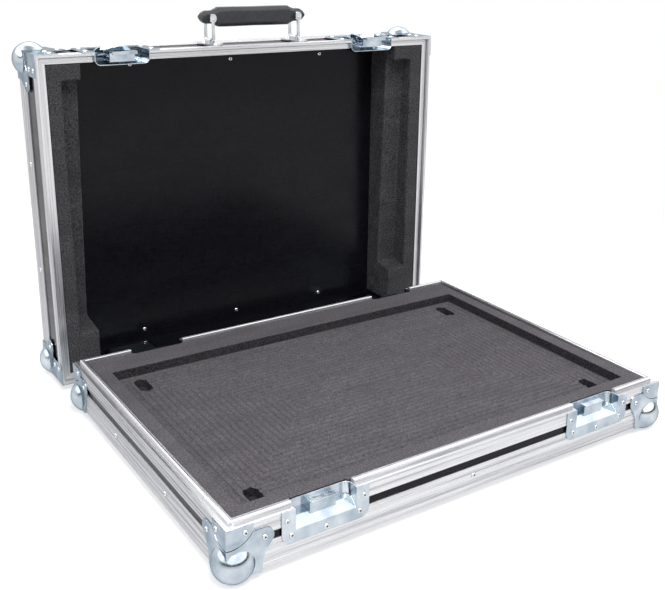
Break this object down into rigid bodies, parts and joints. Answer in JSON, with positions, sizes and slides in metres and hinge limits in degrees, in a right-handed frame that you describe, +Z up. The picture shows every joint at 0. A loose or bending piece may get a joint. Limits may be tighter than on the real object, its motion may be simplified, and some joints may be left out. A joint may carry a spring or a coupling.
{
  "type": "flight case",
  "caption": "Shallow aluminium-edged flight case with a foam-lined tray, a lift-off lid, ball corners, recessed butterfly latches and a folding carry handle.",
  "frame": {"origin": "on the surface the case stands on, below the middle of the open case's bounding box", "axes": "+X to the right along the tray's front, +Y from the tray to the standing lid, +Z up"},
  "size_m": [0.6408, 0.6097, 0.5115],
  "materials": {
    "aluminium_section": "anodised, finely grooved along its length",
    "zinc_steel": "zinc plated pressed steel",
    "bare_rivet": "plain aluminium blind rivets",
    "black_laminate": "plywood faced with black laminate",
    "tray_foam": "cut closed-cell foam with a milled pocket",
    "lid_foam": "cut closed-cell foam",
    "chromed_rod": "bent steel rod, chromed",
    "grip_plastic": "dark textured moulded grip"
  },
  "bodies": {
    "tray": {"tray_panel_board": "black_laminate", "tray_ball_corners": "zinc_steel", "tray_corner_braces": "zinc_steel", "tray_foam": "tray_foam", "tray_rivets": "bare_rivet", "tray_keeper_dishes": "zinc_steel", "tray_keepers": "zinc_steel", "tray_front_board": "black_laminate", "tray_front_rim": "aluminium_section", "tray_front_edge": "aluminium_section", "tray_back_board": "black_laminate", "tray_back_rim": "aluminium_section", "tray_back_edge": "aluminium_section", "tray_left_board": "black_laminate", "tray_left_rim": "aluminium_section", "tray_left_edge": "aluminium_section", "tray_right_board": "black_laminate", "tray_right_rim": "aluminium_section", "tray_right_edge": "aluminium_section"},
    "lid": {"lid_panel_board": "black_laminate", "lid_ball_corners": "zinc_steel", "lid_corner_braces": "zinc_steel", "lid_left_foam": "lid_foam", "lid_right_foam": "lid_foam", "lid_rivets": "bare_rivet", "lid_latch_dishes": "zinc_steel", "handle_bases": "zinc_steel", "lid_front_board": "black_laminate", "lid_front_rim": "aluminium_section", "lid_front_edge": "aluminium_section", "lid_back_board": "black_laminate", "lid_back_rim": "aluminium_section", "lid_back_edge": "aluminium_section", "lid_left_board": "black_laminate", "lid_left_rim": "aluminium_section", "lid_left_edge": "aluminium_section", "lid_right_board": "black_laminate", "lid_right_rim": "aluminium_section", "lid_right_edge": "aluminium_section"},
    "left_loop": {"handle_left_loop": "chromed_rod"},
    "right_loop": {"handle_right_loop": "chromed_rod"},
    "grip": {"handle_grip": "grip_plastic"},
    "front_left_rotor": {"front_left_latch_rotor": "zinc_steel"},
    "front_left_hook": {"front_left_latch_hook": "zinc_steel"},
    "front_left_wing_a": {"front_left_latch_wing_a": "zinc_steel"},
    "front_left_wing_b": {"front_left_latch_wing_b": "zinc_steel"},
    "front_right_rotor": {"front_right_latch_rotor": "zinc_steel"},
    "front_right_hook": {"front_right_latch_hook": "zinc_steel"},
    "front_right_wing_a": {"front_right_latch_wing_a": "zinc_steel"},
    "front_right_wing_b": {"front_right_latch_wing_b": "zinc_steel"},
    "back_left_rotor": {"back_left_latch_rotor": "zinc_steel"},
    "back_left_hook": {"back_left_latch_hook": "zinc_steel"},
    "back_left_wing_a": {"back_left_latch_wing_a": "zinc_steel"},
    "back_left_wing_b": {"back_left_latch_wing_b": "zinc_steel"},
    "back_right_rotor": {"back_right_latch_rotor": "zinc_steel"},
    "back_right_hook": {"back_right_latch_hook": "zinc_steel"},
    "back_right_wing_a": {"back_right_latch_wing_a": "zinc_steel"},
    "back_right_wing_b": {"back_right_latch_wing_b": "zinc_steel"}
  },
  "joints": [
    {"name": "lid_swing", "type": "hinge", "parent": "tray", "child": "lid", "pos_m": [0, 0.15563, 0.0105], "axis": [1, 0, 0], "range_deg": [0, 90]},
    {"name": "handle_swing", "type": "hinge", "parent": "lid", "child": "left_loop", "pos_m": [-0.0555, 0.24938, 0.4655], "axis": [0, 1, 0], "range_deg": [-55, 55]},
    {"name": "right_loop_swing", "type": "hinge", "parent": "lid", "child": "right_loop", "pos_m": [0.0815, 0.24938, 0.4655], "axis": [0, 1, 0], "range_deg": [-55, 55]},
    {"name": "grip_pivot", "type": "hinge", "parent": "left_loop", "child": "grip", "pos_m": [-0.0555, 0.24938, 0.498], "axis": [0, 1, 0], "range_deg": [-55, 55]},
    {"name": "front_left_latch_turn", "type": "hinge", "parent": "lid", "child": "front_left_rotor", "pos_m": [-0.1975, 0.23938, 0.4545], "axis": [0, 0, -1], "range_deg": [-90, 90]},
    {"name": "front_left_hook_draw", "type": "slide", "parent": "lid", "child": "front_left_hook", "axis": [0, 0.7214, -0.6925], "range_m": [-0.00348, 0.00348]},
    {"name": "front_left_wing_a_fold", "type": "hinge", "parent": "front_left_rotor", "child": "front_left_wing_a", "pos_m": [-0.1975, 0.23578, 0.4576], "axis": [-1, 0, 0], "range_deg": [-35, 55]},
    {"name": "front_left_wing_b_fold", "type": "hinge", "parent": "front_left_rotor", "child": "front_left_wing_b", "pos_m": [-0.1975, 0.24297, 0.4576], "axis": [1, 0, 0], "range_deg": [-35, 55]},
    {"name": "front_right_latch_turn", "type": "hinge", "parent": "lid", "child": "front_right_rotor", "pos_m": [0.1975, 0.23938, 0.4545], "axis": [0, 0, -1], "range_deg": [0, 180]},
    {"name": "front_right_hook_draw", "type": "slide", "parent": "lid", "child": "front_right_hook", "axis": [0, 0.7214, -0.6925], "range_m": [0, 0.00694]},
    {"name": "front_right_wing_a_fold", "type": "hinge", "parent": "front_right_rotor", "child": "front_right_wing_a", "pos_m": [0.2011, 0.23938, 0.4576], "axis": [0, -1, 0], "range_deg": [-35, 55]},
    {"name": "front_right_wing_b_fold", "type": "hinge", "parent": "front_right_rotor", "child": "front_right_wing_b", "pos_m": [0.1939, 0.23938, 0.4576], "axis": [0, 1, 0], "range_deg": [-35, 55]},
    {"name": "back_left_latch_turn", "type": "hinge", "parent": "lid", "child": "back_left_rotor", "pos_m": [-0.1975, 0.23938, 0.0165], "axis": [0, 0, 1], "range_deg": [0, 180]},
    {"name": "back_left_hook_draw", "type": "slide", "parent": "lid", "child": "back_left_hook", "axis": [0, 0.7214, 0.6925], "range_m": [0, 0.00694]},
    {"name": "back_left_wing_a_fold", "type": "hinge", "parent": "back_left_rotor", "child": "back_left_wing_a", "pos_m": [-0.2011, 0.23938, 0.0134], "axis": [0, -1, 0], "range_deg": [0, 90]},
    {"name": "back_left_wing_b_fold", "type": "hinge", "parent": "back_left_rotor", "child": "back_left_wing_b", "pos_m": [-0.1939, 0.23938, 0.0134], "axis": [0, 1, 0], "range_deg": [0, 90]},
    {"name": "back_right_latch_turn", "type": "hinge", "parent": "lid", "child": "back_right_rotor", "pos_m": [0.1975, 0.23938, 0.0165], "axis": [0, 0, 1], "range_deg": [0, 180]},
    {"name": "back_right_hook_draw", "type": "slide", "parent": "lid", "child": "back_right_hook", "axis": [0, 0.7214, 0.6925], "range_m": [0, 0.00694]},
    {"name": "back_right_wing_a_fold", "type": "hinge", "parent": "back_right_rotor", "child": "back_right_wing_a", "pos_m": [0.1939, 0.23938, 0.0134], "axis": [0, -1, 0], "range_deg": [0, 90]},
    {"name": "back_right_wing_b_fold", "type": "hinge", "parent": "back_right_rotor", "child": "back_right_wing_b", "pos_m": [0.2011, 0.23938, 0.0134], "axis": [0, 1, 0], "range_deg": [0, 90]}
  ],
  "couplings": [
    {"joint": "right_loop_swing", "follows": "handle_swing", "ratio": 1},
    {"joint": "grip_pivot", "follows": "handle_swing", "ratio": -1},
    {"joint": "front_left_hook_draw", "follows": "front_left_latch_turn", "m_per_rad": 0.0022062},
    {"joint": "front_right_hook_draw", "follows": "front_right_latch_turn", "m_per_rad": 0.0022062},
    {"joint": "back_left_hook_draw", "follows": "back_left_latch_turn", "m_per_rad": 0.0022062},
    {"joint": "back_right_hook_draw", "follows": "back_right_latch_turn", "m_per_rad": 0.0022062}
  ]
}
